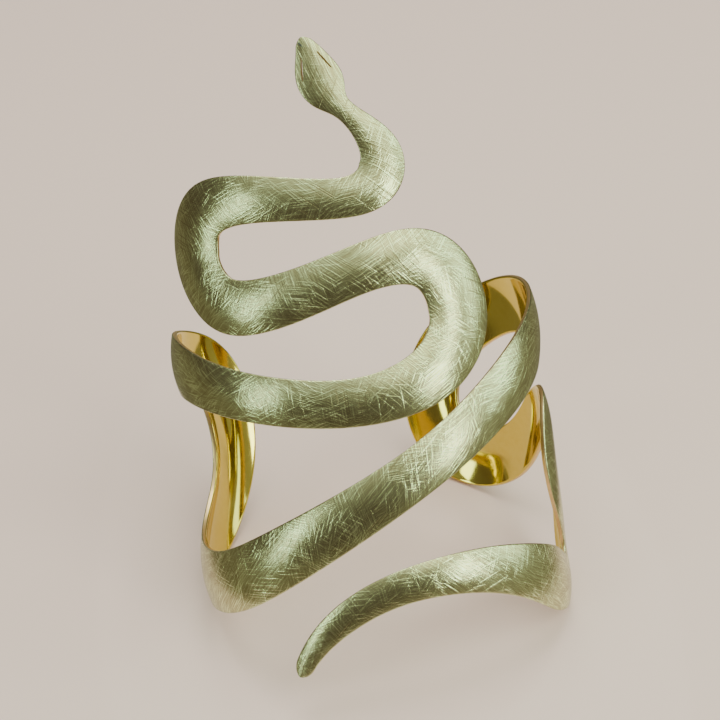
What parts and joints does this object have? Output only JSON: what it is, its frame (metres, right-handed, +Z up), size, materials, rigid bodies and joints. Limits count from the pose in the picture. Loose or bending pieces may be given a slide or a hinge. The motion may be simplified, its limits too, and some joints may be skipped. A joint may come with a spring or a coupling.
{
  "type": "snake cuff bangle",
  "caption": "Open cuff bangle: one strip of sheet metal cut as a slim snake that winds to and fro round an oval, head at the top, tail at the bottom.",
  "frame": {"origin": "middle of the bounding box, on the surface that the bangle stands on", "axes": "+Z up; -Y the front, which the snout looks out over; +X to the right as seen from the front; the arm's way through the oval leans back from +Z towards +Y by about 36 degrees"},
  "size_m": [0.063, 0.0636, 0.088],
  "materials": {
    "brushed_gold": "pale champagne gold, satin with fine scratches every way outside, polished inside"
  },
  "bodies": {
    "root": {"snake_band": "brushed_gold"}
  },
  "joints": []
}
